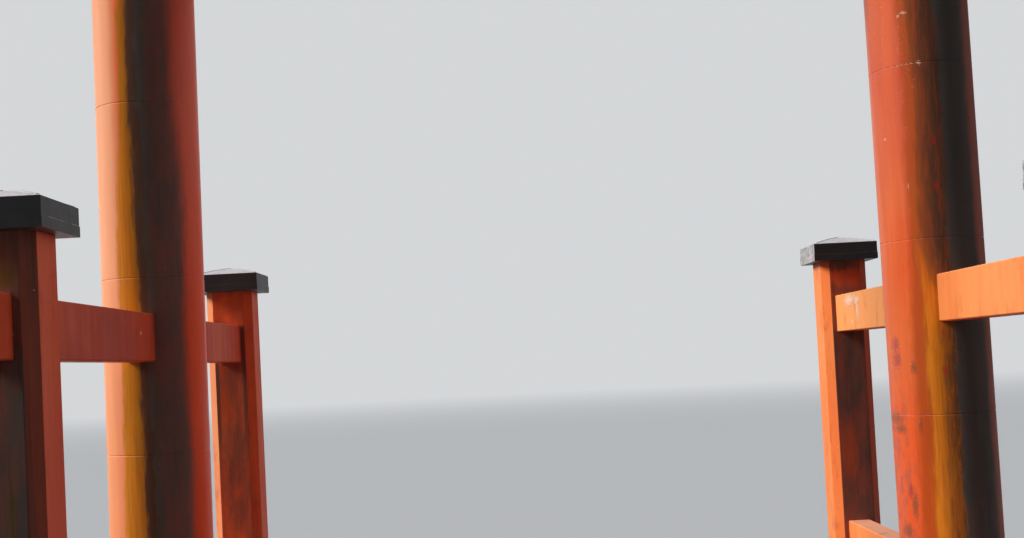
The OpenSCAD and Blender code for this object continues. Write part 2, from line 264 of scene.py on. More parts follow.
class Finish:
    """A material or the surroundings under construction; every node in it comes from node()."""

    def __init__(self, owner):
        owner.use_nodes = True
        self.owner = owner
        self.tree = owner.node_tree
        self.tree.nodes.clear()

    def node(self, kind, settings=None, sockets=None, output=0):
        """Adds a node of a type, with its settings first and then its sockets' values or wires."""
        node = self.tree.nodes.new(kind)
        for name, value in (settings or {}).items():
            setattr(node, name, value)
        for name, value in (sockets or {}).items():
            if isinstance(value, Wire):
                self.tree.links.new(value.socket, node.inputs[name])
            else:
                node.inputs[name].default_value = value
        return Wire(self, node.outputs[output]) if node.outputs else None

    def several(self, outputs, kind, sockets=None):
        """Adds a node and gives back more than one of its outputs."""
        node = self.node(kind, None, sockets).socket.node
        return [Wire(self, node.outputs[output]) for output in outputs]

    @cached_property
    def place(self):
        """A point of the piece, in the piece's own coordinates."""
        return self.node("ShaderNodeTexCoord", output="Object")

    @cached_property
    def axes(self):
        """The same point as three numbers, of which the last is its height."""
        return self.several(range(3), "ShaderNodeSeparateXYZ", {0: self.place})

    @cached_property
    def normal(self):
        """Which way the surface faces."""
        return self.node("ShaderNodeTexCoord", output="Normal")

    def scaled(self, scale):
        """The point's coordinates times a scale for each axis."""
        return self.node("ShaderNodeMapping", None, {"Vector": self.place, "Scale": scale})

    def along(self, vector, direction):
        """How far a vector points in a direction."""
        return self.measure("DOT_PRODUCT", vector, direction)

    def measure(self, operation, first, second):
        """A number from two vectors."""
        return self.node("ShaderNodeVectorMath", {"operation": operation}, {0: first, 1: second}, "Value")

    def ramp(self, value, low, high, start=0.0, end=1.0):
        """A smooth step of a value from start to end, between low and high."""
        return self.node("ShaderNodeMapRange", {"interpolation_type": "SMOOTHSTEP"}, {
            0: value, 1: low, 2: high, 3: start, 4: end})

    def facing(self, direction, low, high):
        """1 where the surface faces a direction, and 0 where it faces away."""
        return self.ramp(self.along(self.normal, direction), low, high)

    def noise(self, scale, detail=3.0, roughness=0.55):
        """Noise with one scale for all axes, or with one for each of the three."""
        place = self.place
        if isinstance(scale, tuple):
            place = self.scaled(scale)
            scale = 1.0
        return self.node("ShaderNodeTexNoise", None, {
            "Vector": place, "Scale": scale, "Detail": detail, "Roughness": roughness})

    def clumps(self, scale, low, high, detail=3.0, roughness=0.55):
        """Noise that is cleared below low and full above high."""
        return self.ramp(self.noise(scale, detail, roughness), low, high)

    def stain(self, centre, size, ragged, edge):
        """A blotch or run: 1 inside an ellipsoid of that size, with a ragged edge."""
        scale = tuple(1 / s for s in size)
        reach = self.measure("DISTANCE", self.scaled(scale), tuple(c * s for c, s in zip(centre, scale)))
        return self.ramp(reach + ragged, 1.0 - edge, 1.0 + edge, 1.0, 0.0)

    def mix(self, share, first, second):
        """Two colours mixed."""
        return self.node("ShaderNodeMix", {"data_type": "RGBA"}, {
            0: share, 6: opaque(first), 7: opaque(second)}, 2)

    def bump(self, height):
        """A normal bent by a height in metres."""
        return self.node("ShaderNodeBump", None, {"Height": height, "Distance": 1.0, "Strength": 1.0})

    def surface(self, sockets):
        """Closes the material with one surface shader."""
        return self.close(self.node("ShaderNodeBsdfPrincipled", None, sockets))

    def close(self, shader, kind="ShaderNodeOutputMaterial"):
        """Leads a shader to the output, and gives back what it belongs to."""
        self.node(kind, None, {"Surface": shader})
        return self.owner


def opaque(colour):
    """A colour with its alpha, or the wire as it is."""
    return colour if isinstance(colour, Wire) else (*colour, 1.0)


def blend(share, first, second):
    """Two fixed colours mixed."""
    return tuple(a + (b - a) * share for a, b in zip(first, second))


def dress(names, material):
    """Puts a material on CAD nodes."""
    for name in names:
        for slot in NODES[name].material_slots:
            slot.material = material


def named(*endings):
    """Names of the nodes with one of these endings."""
    return [name for name in sorted(NODES) if name.endswith(endings)]


# Depths in metres: waves in the plate, brush marks, specks and the paint itself, dents and grit of the black
# metalwork, and pits of the granite
WAVE_DEPTH = 0.010
BRUSH_DEPTH = 0.00035
SPECK_DEPTH = 0.0005
PAINT_DEPTH = 0.0012
DENT_DEPTH = 0.006
GRIT_DEPTH = 0.0003
PIT_DEPTH = 0.004


class Coat(Finish):
    """Vermilion paint with its weather side, its vertical runs and its patches, and with painted light and
    shade.

    tone is how much paler than most the lit weather side is painted, which is partly fading and partly
    painted light, streaks how strong its runs are, and the last number how dark the painted shade is on the
    right-facing side.
    """

    def __init__(self, paint, name, tone, streaks, painted_shade=0.0):
        super().__init__(bpy.data.materials.new(name))
        self.paint = paint
        self.runs = self.clumps((11, 11, 0.55), 0.30, 0.70, 4.0, 0.6)
        self.fine_runs = self.clumps((55, 55, 1.8), 0.30, 0.72, 2.0)
        patches = self.clumps(0.9, 0.32, 0.70, 4.0)
        # painted light: the side facing the light is painted paler, partly as fading
        weather = self.facing(LIT_WEATHER_SIDE, -0.25, 0.95)
        paled = (weather * (0.75 + tone) + patches * 0.35 - 0.18).up_to(1.0).at_least(0.0)
        self.colour = self.mix(paled, paint.vermilion, paint.bleached_and_lit)
        # painted highlight: top faces are painted paler and chalky, with some pale filler colour, to stand in
        # for light from above
        top = self.facing(UP, 0.6, 0.95)
        self.tint(top * (0.60 + 0.30 * patches), paint.paler)
        self.tint(top * 0.30, paint.filler)
        # painted shade: the right-facing side is painted darker
        self.tint(self.facing(RIGHTWARD, 0.2, 0.95) * (painted_shade * (1.1 - 0.5 * patches)), paint.deep_and_shade)
        self.tint(((1.0 - self.runs) * 0.28 + (1.0 - self.fine_runs) * 0.10) * streaks, paint.deep_and_shade)

    def tint(self, share, colour):
        """Lays a colour over what is there."""
        self.colour = self.mix(share, self.colour, colour)

    def soft_spots(self, spots, ragged):
        """The strongest of some soft-edged spots at each point."""
        cover = 0.0
        for centre, size, strength in spots:
            cover = (self.stain(centre, size, ragged * 1.6, edge=0.55) * strength).at_least(cover)
        return cover

    def finished(self, bare, shine, dirt_and_shade=None):
        """Closes the material: gloss, brush marks, the slight waves of hand-filled plate, flakes, and a
        duller finish under soiling and painted shade.
        """
        waves = self.noise((3.2, 3.2, 1.1), 2.0)
        brush = self.noise((160, 160, 9))
        speck = self.noise(90, 2.0)
        height = waves * WAVE_DEPTH + brush * BRUSH_DEPTH + speck * SPECK_DEPTH - bare * PAINT_DEPTH
        rough = (1.0 - self.runs) * 0.14 + self.fine_runs * 0.05 + (0.58 - 0.22 * shine) + bare * 0.35
        gloss = (0.6 + self.runs * 0.4) * (self.paint.gloss * shine) * (1.0 - bare)
        if dirt_and_shade is not None:
            rough = rough + dirt_and_shade * 0.25
            gloss = gloss * (1.0 - dirt_and_shade * 0.9)
        return self.surface({
            "Base Color": self.colour, "Roughness": rough, "Coat Weight": gloss, "Coat Roughness": 0.18,
            "Specular IOR Level": 0.22 + 0.18 * shine, "Normal": self.bump(height)})


# How strong the runs are and how glossy the paint is, on the pillars and on the straight pieces
PILLAR_STREAKS = 0.8
PILLAR_SHINE = 0.7
TIMBER_STREAKS = 0.36
TIMBER_SHINE = 0.25

# Ring seams of the pillars: the first above the ground and the height of a course
SEAM_FIRST = 1.155
SEAM_PITCH = 1.375

# How far a strip's edge strays in degrees, in long waves and in a fine fringe, and a seam's edge in metres
STRAY = 18
FRINGE = 9
SEAM_FRINGE = 0.003

# How ragged the outlines of runs and of chips are
RUN_RAGGED = 4.9
CHIP_RAGGED = 4.2

# Runs and spots on a pillar, by tint: each one's bearing, height, half width and half length; all go as deep
RUN_DEPTH = 0.3
RUNS = {
    LEFT: {},
    RIGHT: {
        PURPLE: ((-71, 3.09, 0.012, 0.050), (-70, 2.97, 0.015, 0.055), (-62, 1.93, 0.012, 0.05)),
        OLIVE_BROWN: ((-47, 2.90, 0.015, 0.040), (-78, 2.50, 0.018, 0.04), (-72, 2.42, 0.022, 0.030),
                      (-57, 1.82, 0.014, 0.09), (-70, 1.62, 0.018, 0.05), (-43, 2.45, 0.010, 0.05)),
        CRIMSON: ((-12, 3.17, 0.012, 0.03), (-12, 2.87, 0.018, 0.035), (-8, 4.66, 0.016, 0.03),
                  (-9, 4.30, 0.016, 0.03)),
    },
}

# Chips in a pillar's paint, with the same four numbers each
CHIPS = {
    LEFT: ((-57, 4.49, 0.012, 0.02), (-48, 5.285, 0.02, 0.006)),
    RIGHT: ((-32, 5.685, 0.022, 0.010), (-38, 5.665, 0.009, 0.012), (-19, 5.279, 0.014, 0.013),
            (-27, 5.281, 0.009, 0.004), (-32, 5.279, 0.011, 0.005), (-37, 5.282, 0.012, 0.004),
            (-43, 5.278, 0.009, 0.006), (-50, 5.281, 0.008, 0.004), (-60, 5.279, 0.007, 0.005),
            (-39, 4.32, 0.004, 0.018), (-66, 4.72, 0.010, 0.009)),
}


class Strips(NamedTuple):
    """The upright strips on a pillar: fading and stains, painted reflection and painted shade.

    A pair is a value high up and one low down. A place where a strip begins is a bearing in degrees from
    straight ahead, positive to the right.
    """

    change: tuple  # heights between which the upper values give way to the lower
    tone: float  # how much paler than most the lit weather side is painted, partly fading and partly painted light
    film: tuple  # where the red-brown painted shade begins
    shading_strength: float
    ochre: tuple  # where the ochre band of painted reflection begins
    ochre_strength: tuple
    ochre_edge: float  # softness of its edge
    olive: float  # how far the ochre band darkens towards the mottled band
    mottle: tuple  # where the mottled band of soiling and painted shade begins
    mottle_full: float  # how much further on it is thick
    mottle_tint: tuple
    dirt_and_shade: tuple  # where the dark strip of painted shade and soiling begins
    cover: float  # how dark it is, and how much darker in clouds
    clouds: float
    dust: float  # how grey it is
    end: tuple  # where it ends
    end_edge: tuple  # softness of that edge
    rim: float  # how dark the pillar is beyond it, with painted shade and soiling


STRIPS = {
    LEFT: Strips(
        change=(5.6, 4.0), tone=0.35, film=(-14, -25), shading_strength=0.0,
        ochre=(-14, -25), ochre_strength=(0.95, 0.95), ochre_edge=3, olive=0.60,
        mottle=(-5, -2), mottle_full=4, mottle_tint=(0.124, 0.060, 0.040),
        dirt_and_shade=(5, 8), cover=0.78, clouds=0.10, dust=0.12, end=(42, 53.5), end_edge=(13, 8), rim=0.0),
    RIGHT: Strips(
        change=(4.0, 3.2), tone=-0.45, film=(-39, -47), shading_strength=0.77,
        ochre=(-34, -32), ochre_strength=(0.12, 0.92), ochre_edge=5, olive=0.15,
        mottle=(-29, -15), mottle_full=22, mottle_tint=(0.092, 0.047, 0.029),
        dirt_and_shade=(1, 0), cover=0.90, clouds=0.0, dust=0.0, end=(38, 43), end_edge=(7, 7), rim=0.66),
}


class PillarCoat(Coat):
    """Paint of a round pillar, which knows a point by its height and by its bearing on the leaning axis."""

    def __init__(self, paint, side):
        strips = STRIPS[side]
        super().__init__(paint, SIDE_NAMES[side] + "_pillar_paint", strips.tone, PILLAR_STREAKS)
        self.side = side
        self.strips = strips
        x, y, self.height = self.axes
        across = x - ((self.height - FOOT_TOP) * (side * PILLAR_DRIFT) + side * FOOT.x)
        self.bearing = across.turn_from(0.0 - y) * math.degrees(1)
        self.low = self.ramp(self.height, *strips.change)
        self.wander = (self.noise((3, 3, 1.1), 3.0, 0.6) - 0.5) * STRAY
        self.ragged = self.noise((42, 42, 6)) - 0.5
        self.torn = self.noise(85, 4.0, 0.75) - 0.5
        self.strip = self.bearing + self.wander + self.ragged * FRINGE
        self.mottle_edge = self.between(strips.mottle)
        self.fibres = self.clumps((60, 60, 2.2), 0.34, 0.62, 3.0, 0.6)
        self.blotch = self.clumps((24, 24, 4.0), 0.40, 0.62, 5.0, 0.75)
        course = (self.height - (SEAM_FIRST - SEAM_PITCH / 2)) % SEAM_PITCH
        self.off_seam = abs(course - SEAM_PITCH / 2)

    def between(self, pair):
        """A pair's upper value high up, which gives way to its lower one."""
        return pair[0] + (pair[1] - pair[0]) * self.low

    def begins(self, edge, soft, later=0):
        """1 beyond a pair of bearings, or some degrees later, and 0 before."""
        return self.ramp((self.strip - (self.between(edge) + later)) / soft, -1, 1)

    def spot(self, bearing, height):
        """A point on the pillar's face."""
        axis = self.side * (FOOT.x + PILLAR_DRIFT * (height - FOOT_TOP))
        turn = math.radians(bearing)
        return (axis + PILLAR_R * math.sin(turn), -PILLAR_R * math.cos(turn), height)

    def fade_left(self):
        """Turns the lit weather side paler, partly powdery old paint and partly painted reflection, and
        reddens the far side.
        """
        # painted reflection: the pale peach band on the left pillar's lit side, partly chalking
        paler = self.ramp(self.bearing + self.wander * 0.5, -13, -33) * (0.85 + 0.15 * self.runs)
        paler = paler * self.ramp(self.bearing + self.wander * 2.5, -165, -110, 0.15, 1.0)
        self.tint(paler * self.ramp(self.height, 2.3, 4.3, 0.45, 1.0), self.paint.paler)
        beyond = self.mix(self.ramp(self.height, 5.2, 3.2), ROSE, FRESH_RED)
        self.tint(self.ramp(self.bearing, 28, 48) * 0.93, beyond)

    def fade_right(self):
        """Keeps the paint red low down, pinks it high up and smudges it below the ties."""
        self.tint(self.ramp(self.height, 3.4, 2.2) * 0.55, self.paint.vermilion)
        self.tint(self.ramp(self.height, 3.6, 5.0) * 0.32, PINK)
        smudges = self.clumps((15, 15, 6), 0.44, 0.62, 4.0, 0.7) * self.ramp(self.height, 3.3, 2.1)
        self.tint(smudges * self.ramp(self.bearing, -38, -72) * 0.45, SMUDGE)

    def reflection_gold(self):
        """Colour of the ochre band of painted reflection."""
        reflection_gold = self.mix((1.0 - self.fibres) * 0.60, self.paint.painted_bands, DULL_OCHRE)
        near_mottle = self.ramp(self.strip - self.mottle_edge, -16, 2)
        reflection_gold = self.mix(near_mottle * self.strips.olive, reflection_gold, OLIVE)
        if self.side == LEFT:
            return self.mix(0.35, reflection_gold, GOLDEN)
        # painted highlight: the bright line in the right pillar's band
        line = self.ramp(self.strip, -35, -27) * self.ramp(self.strip, -17, -27)
        return self.mix(line * (0.42 + 0.30 * self.fibres + 0.25 * self.blotch), reflection_gold, self.paint.amber_glint)

    def painted_bands(self):
        """Lays the red-brown painted shade and the ochre band of painted reflection, as far as the dark
        strip.
        """
        strips = self.strips
        kept = 1.0 - self.begins(strips.dirt_and_shade, 5, 9)
        # painted shade: red-brown darkening where the lit side turns to shade
        film = self.begins(strips.film, 6) * kept * (strips.shading_strength * (0.80 + 0.20 * self.runs))
        self.tint(film, RED_BROWN)
        # painted reflection: the ochre band
        ochre = self.begins(strips.ochre, strips.ochre_edge) * kept * self.between(strips.ochre_strength)
        self.tint(ochre * (0.82 + 0.18 * self.runs), self.reflection_gold())

    def filler_and_light_seams(self):
        """Shows a little filler along the ring seams, which also paints light into the shade of their
        grooves.
        """
        seam = self.ramp(self.off_seam + self.ragged * SEAM_FRINGE, 0.009, 0.004)
        self.tint(seam * (0.02 + 0.12 * self.blotch), self.paint.filler)

    def mottled(self, beyond):
        """Patchy soiling and painted shade between the ochre band and the dark strip."""
        strips = self.strips
        thick = self.ramp(self.strip - self.mottle_edge, -4, strips.mottle_full, 0.42, 0.95)
        thick = self.begins(strips.mottle, 3) * thick
        if self.side == LEFT:
            mottled = thick * (0.62 + 0.50 * self.blotch).up_to(1.0) * (1.0 - beyond)
            return (mottled + thick * 0.3).up_to(0.95) * (1.0 - self.begins(strips.dirt_and_shade, 5, 4))
        upper = 0.62 + 0.26 * self.blotch + 0.26 * self.fibres
        lower = 0.42 + 0.85 * self.blotch
        return thick * (upper * (1.0 - self.low) + lower * self.low).up_to(1.0) * (1.0 - beyond)

    def soil_and_shade(self):
        """Lays the mottled band, the dark strip of painted shade and soiling, and the soiling at the foot,
        and gives back where they are.
        """
        strips = self.strips
        beyond = self.begins(strips.end, self.between(strips.end_edge))
        mottled = self.mottled(beyond)
        self.tint(mottled * self.paint.wear_and_shade, strips.mottle_tint)
        cover = strips.cover + 0.07 * self.blotch
        if strips.clouds:
            cover = cover + strips.clouds * self.clumps((5, 5, 2.0), 0.36, 0.62, 3.0, 0.6)
        # painted shade: the dark strip down the side turned from the light, with soiling
        dark = self.begins(strips.dirt_and_shade, 4) * (1.0 - beyond * (1.0 - strips.rim)) * cover
        at_foot = self.ramp(self.height, FOOT_TOP + 1.3, FOOT_TOP + 0.45) * (0.20 + 0.4 * (1.0 - self.runs))
        dirt_and_shade = (dark + at_foot).up_to(1.0)
        self.tint(dirt_and_shade * self.paint.wear_and_shade, blend(strips.dust, self.paint.grime_and_shade, DUST))
        return dirt_and_shade.at_least(mottled)

    def streak(self):
        """Lays the single runs and spots."""
        for colour, marks in RUNS[self.side].items():
            for turn, height, wide, long in marks:
                size = (wide, RUN_DEPTH, long)
                run = self.stain(self.spot(turn, height), size, self.torn * RUN_RAGGED, edge=0.5)
                self.tint(run * 0.62, colour)

    def flake(self):
        """Shows the filler where paint has flaked, and gives back where that is."""
        chips = 0.0
        for turn, height, wide, long in CHIPS[self.side]:
            size = (wide, wide * 1.6, long)
            chip = self.stain(self.spot(turn, height), size, self.torn * CHIP_RAGGED, edge=0.2)
            chips = chip.at_least(chips)
        scattered = self.clumps(30, 0.695, 0.715, 4.0, 0.65) * self.ramp(self.off_seam, 0.35, 0.02)
        if self.side == RIGHT:
            specks = self.clumps(62, 0.668, 0.695, 3.0, 0.6) * self.ramp(self.height, 4.4, 5.1)
            scattered = scattered.at_least(specks * self.ramp(self.bearing, -18, -30))
        bare = chips.at_least(scattered * 0.8) * self.paint.wear_and_shade
        self.tint(bare * 0.62, self.paint.filler)
        return bare


def pillar_paint(paint, side):
    """Paint of one pillar, built up in the order in which it has aged, with painted reflection and painted
    shade among the layers.
    """
    coat = PillarCoat(paint, side)
    if side == LEFT:
        coat.fade_left()
    else:
        coat.fade_right()
    coat.painted_bands()
    coat.filler_and_light_seams()
    dirt_and_shade = coat.soil_and_shade()
    coat.streak()
    bare = coat.flake()
    return coat.finished(bare, PILLAR_SHINE, dirt_and_shade)


class WeatherAndLight(NamedTuple):
    """How a straight piece has weathered, and the painted light and painted shade on it. A spot is its
    centre, its size and its strength.
    """

    dirt_and_shade: float = 0.0  # soiling and painted shade on its front
    wrap: float = 0.0  # how far that goes round the arrises
    clouds: float = 0.30  # how uneven it is
    chalk_sheen: float = 0.0  # chalk and painted highlight on its lit weather side
    painted_light: float = 0.0  # painted light on its weather side, beyond the pillars, where a cast shadow falls
    painted_shade: float = 0.0  # depth of painted shade on its sheltered, right-facing side
    soot_and_cap_shade: tuple = ()  # spots of soot, partly painted shadow under the right cap; of lighter paint where the painted shade thins; and of moss on its front
    clean: tuple = ()
    moss: tuple = ()


def shade_and_soil_front(coat, weather_and_light):
    """Paints shade and soiling on the front of a post, and gives back where they are."""
    x, _, height = coat.axes
    # painted shade with soiling: front faces are painted darker, most of all below the ties
    front = coat.facing(FORWARD, 0.76 - 0.54 * weather_and_light.wrap, 0.96 - 0.11 * weather_and_light.wrap)
    ragged = coat.noise((16, 16, 5), 4.0, 0.65) - 0.5
    clouds = coat.clumps((5, 5, 1.6), 0.36, 0.60, 5.0, 0.65)
    cover = coat.ramp(height, TIE_TOP + 0.08, TIE_TOP - 0.55, 0.10 + 0.90 * weather_and_light.dirt_and_shade, 1.0)
    cover = cover * ((1.0 - weather_and_light.clouds) + weather_and_light.clouds * clouds) * weather_and_light.dirt_and_shade
    cover = cover * (1.0 - coat.soft_spots(weather_and_light.clean, ragged))
    # painted shadow: darker just under the cap
    soot_and_cap_shade = coat.ramp(height + ragged * 0.35, POST_TOP - 0.14, POST_TOP - 0.02) * 0.40
    soot_and_cap_shade = soot_and_cap_shade.at_least(coat.soft_spots(weather_and_light.soot_and_cap_shade, ragged))
    # painted shadow: darker beside the tie and down the face below it
    shade_beside_tie = coat.ramp(abs(abs(x) - POST.x), TIE_R - 0.002, TIE_R + 0.012)
    shade_beside_tie = shade_beside_tie * coat.ramp(height, TIE_TOP + 0.03, TIE_TOP - 0.02)
    shade_beside_tie = shade_beside_tie * coat.ramp(height + ragged * 0.8, TIE_TOP - 2.0, TIE_TOP - 0.5, 0.30, 0.85)
    dirt_and_shade = front * cover.at_least(soot_and_cap_shade).at_least(shade_beside_tie) * coat.paint.wear_and_shade
    fibres = coat.clumps((38, 38, 1.2), 0.50, 0.66, 3.0, 0.6)
    coat.tint(dirt_and_shade, coat.mix(0.35 + fibres * 0.45, coat.paint.grime_and_shade, DARK_BROWN))
    if weather_and_light.moss:
        coat.tint(front * coat.soft_spots(weather_and_light.moss, ragged), MOSS)
    return dirt_and_shade


def plain_paint(paint, name, tone, weather_and_light=WeatherAndLight(), chips=()):
    """Paint of a straight piece: posts, ties, beam and lintels."""
    coat = Coat(paint, name, tone, TIMBER_STREAKS, weather_and_light.painted_shade)
    weather = coat.facing(LIT_WEATHER_SIDE, 0.35, 0.90)
    # painted highlight with chalking: the lit weather side is painted paler
    if weather_and_light.chalk_sheen:
        coat.tint(weather * weather_and_light.chalk_sheen, paint.paler)
    # painted light: the weather side beyond the pillars is painted paler where a cast shadow falls
    if weather_and_light.painted_light:
        _, y, height = coat.axes
        beyond = coat.ramp(y, PILLAR_R * 0.5, PILLAR_R * 1.5) * coat.ramp(height, 2.0, 3.0)
        coat.tint(weather * beyond * weather_and_light.painted_light, PALE_ORANGE)
    coat.tint(coat.clumps((7, 7, 3), 0.52, 0.70, 5.0, 0.65) * 0.35 * paint.wear_and_shade, paint.deep_and_shade)
    dirt_and_shade = shade_and_soil_front(coat, weather_and_light) if weather_and_light.dirt_and_shade else None
    torn = (coat.noise(60, 5.0, 0.75) - 0.5) * 8
    bare = coat.clumps(24, 0.72, 0.735, 4.0, 0.65)
    for centre, size in chips:
        bare = bare.at_least(coat.stain(centre, size, torn, edge=0.18))
    bare = bare * paint.wear_and_shade
    coat.tint(bare * 0.85, paint.filler)
    return coat.finished(bare, TIMBER_SHINE, dirt_and_shade)


def metal_finish(metal, name, sheen_share=1.0, highlight_line=None, open_sky=False):
    """Black metalwork, pale on its weather side and on top, or all over where open_sky is set: partly powdery
    old paint and partly painted sky reflection.

    Its last argument is a level along which its right-facing side gets a painted highlight, a bright line at
    the top of the hem.
    """
    finish = Finish(bpy.data.materials.new(name))
    weather = finish.facing(LEFTWARD, 0.45, 0.95)
    top = 1.0 if open_sky else finish.facing(UP, 0.5, 0.95)
    pale = metal.bleached_and_lit if open_sky else finish.mix(top, metal.chalk_sheen, metal.bleached_and_lit)
    spots = finish.noise(27, 5.0, 0.75)
    clouds = finish.noise(3.0, 4.0, 0.6)
    cover = finish.ramp(spots + clouds * 0.6, 0.66, 0.92)
    # painted reflection: pale sky reflection on the weather side and on top, partly chalking
    chalk_sheen = (weather * (0.32 + 0.66 * cover) + top * (0.80 + 0.20 * cover)) * (sheen_share * metal.sheen_and_chalking)
    if highlight_line is not None:
        # painted highlight: a bright line at the hem's top edge on right-facing faces
        off_line = abs(finish.axes[2] - highlight_line) + (spots - 0.5) * 0.012
        hem_highlight = finish.ramp(off_line, 0.006, 0.002) * finish.facing(RIGHTWARD, 0.5, 0.9)
        chalk_sheen = chalk_sheen + hem_highlight * finish.ramp(clouds, 0.40, 0.55) * 0.60
    chalk_sheen = chalk_sheen.up_to(1.0)
    colour = finish.mix(finish.ramp(clouds, 0.3, 0.7) * 0.35, metal.black, GREY_BLACK)
    colour = finish.mix(chalk_sheen, colour, pale)
    colour = finish.mix(finish.clumps(14, 0.66, 0.74, 5.0, 0.7) * 0.4, colour, RUST)
    dents = finish.noise(5.0, 2.0) * DENT_DEPTH + finish.noise(120, 2.0) * GRIT_DEPTH
    rough = 0.36 + 0.25 * chalk_sheen + 0.12 * spots
    return finish.surface({
        "Base Color": colour, "Roughness": rough, "Specular IOR Level": 0.5, "Normal": finish.bump(dents)})


def stone_finish(stone, name):
    """Speckled granite, tooled, and darker where it stands in the damp."""
    finish = Finish(bpy.data.materials.new(name))
    grain = finish.noise(95, 2.0, 0.7)
    colour = finish.mix(finish.ramp(grain, 0.35, 0.65), GREY_GRAIN, stone.pale)
    colour = finish.mix(finish.clumps(150, 0.60, 0.66, 1.0), colour, stone.dark)
    damp = finish.ramp(finish.axes[2] + finish.noise(4.0, 4.0) * 0.18, 0.26, 0.08)
    colour = finish.mix(damp * 0.75, colour, stone.damp)
    pits = finish.noise(60, 4.0, 0.7) * PIT_DEPTH + finish.noise(9, 2.0) * PIT_DEPTH
    return finish.surface({
        "Base Color": colour, "Roughness": 0.72 + 0.12 * grain, "Normal": finish.bump(pits)})


# Distance within which corners of a node's mesh are joined, angle within which its faces are, and distance
# within which two points count as one
SAME_CORNER = 0.0003
SAME_FACE = math.radians(0.5)
SAME_POINT = 0.00001


def merged_copy(names):
    """The nodes' triangles as one mesh with its corners joined and its flat faces whole."""
    shape = bmesh.new()
    for name in names:
        shape.from_mesh(NODES[name].data)
    bmesh.ops.remove_doubles(shape, verts=shape.verts, dist=SAME_CORNER)
    bmesh.ops.dissolve_limit(shape, angle_limit=SAME_FACE, verts=shape.verts, edges=shape.edges)
    shape.normal_update()
    return shape


def keep_faces(shape, wanted):
    """Leaves only the faces that the test wants, and raises an error if there are none."""
    unwanted = [face for face in shape.faces if not wanted(face)]
    bmesh.ops.delete(shape, geom=unwanted, context="FACES")
    if not shape.faces:
        raise RuntimeError("no face is left to trim")


def cut_off(shape, point, normal):
    """Cuts a mesh by a plane and drops the side that the normal points to."""
    everything = shape.verts[:] + shape.edges[:] + shape.faces[:]
    bmesh.ops.bisect_plane(
        shape, geom=everything, dist=SAME_POINT, plane_co=point, plane_no=normal, clear_outer=True)


def strip_along(skin, point, direction, width):
    """The part of a skin between two upright planes on either side of a line."""
    strip = skin.copy()
    side = Vector((direction[1], -direction[0], 0)).normalized()
    for turn in (1, -1):
        cut_off(strip, Vector(point) + side * (turn * width / 2), side * turn)
    return strip


def thicken(shape, height):
    """Raises a skin to a sheet of that height, outwards from its faces, and closes it."""
    bmesh.ops.solidify(shape, geom=shape.faces[:], thickness=-height)
    bmesh.ops.recalc_face_normals(shape, faces=shape.faces)


def as_mesh(name, shape):
    """A bmesh as a mesh; the bmesh is freed."""
    mesh = bpy.data.meshes.new(name)
    shape.to_mesh(mesh)
    shape.free()
    return mesh


def add_part(shape, part):
    """Adds one bmesh to another and frees it."""
    mesh = as_mesh("part", part)
    shape.from_mesh(mesh)
    bpy.data.meshes.remove(mesh)


def add_object(name, data):
    """A new object in the scene."""
    made = bpy.data.objects.new(name, data)
    bpy.context.scene.collection.objects.link(made)
    return made


def add_piece(name, shape, material):
    """Adds a finished piece to the gate."""
    mesh = as_mesh(name, shape)
    mesh.materials.append(material)
    made = add_object(name, mesh)
    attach(made, "root")


def soften(names, width):
    """Rounds the arrises of flat-sided nodes a little, as coats of paint do."""
    for name in names:
        weld = NODES[name].modifiers.new("weld", "WELD")
        weld.merge_threshold = SAME_POINT
        bevel = NODES[name].modifiers.new("arris", "BEVEL")
        bevel.width = width
        bevel.segments = 2
        bevel.limit_method = "ANGLE"
        bevel.angle_limit = math.radians(25)
        bevel.harden_normals = True


class GATE_OT_pillars(bpy.types.Operator):
    """Paint the two round pillars"""

    bl_idname = "gate.pillars"
    bl_label = "Paint the pillars"

    def execute(self, context):
        for side, name in SIDE_NAMES.items():
            dress([name + "_pillar"], pillar_paint(context.scene.gate_paint, side))
        return {"FINISHED"}


# Spots on the posts' fronts: soot, partly painted shadow under the right cap; patches where the painted shade
# and soiling thin; and moss
RIGHT_SOOT_AND_CAP_SHADE = (((POST.x, FAR_FACE, POST_TOP - 0.03), (0.13, 0.10, 0.075), 0.90),)
RIGHT_LIGHTER = (((POST.x, FAR_FACE, POST_TOP - 0.17), (0.20, 0.10, 0.09), 0.60),
               ((POST.x - 0.07, FAR_FACE, POST_TOP - 1.90), (0.10, 0.10, 0.28), 0.40))
LEFT_SOOT = (((0.10 - POST.x, FAR_FACE, POST_TOP - 0.22), (0.16, 0.10, 0.16), 0.42),
             ((-0.10 - POST.x, FAR_FACE, POST_TOP - 0.33), (0.18, 0.10, 0.06), 0.48))
LEFT_LIGHTER = (((-0.06 - POST.x, FAR_FACE, POST_TOP - 0.24), (0.30, 0.10, 0.26), 0.60),)
LEFT_MOSS = (((0.08 - POST.x, NEAR_FACE, TIE_TOP + 0.09), (0.06, 0.10, 0.07), 0.60),
             ((0.068 - POST.x, NEAR_FACE, TIE_TOP - 1.35), (0.012, 0.10, 0.36), 0.85),
             ((0.030 - POST.x, NEAR_FACE, TIE_TOP - 1.45), (0.008, 0.10, 0.26), 0.60))

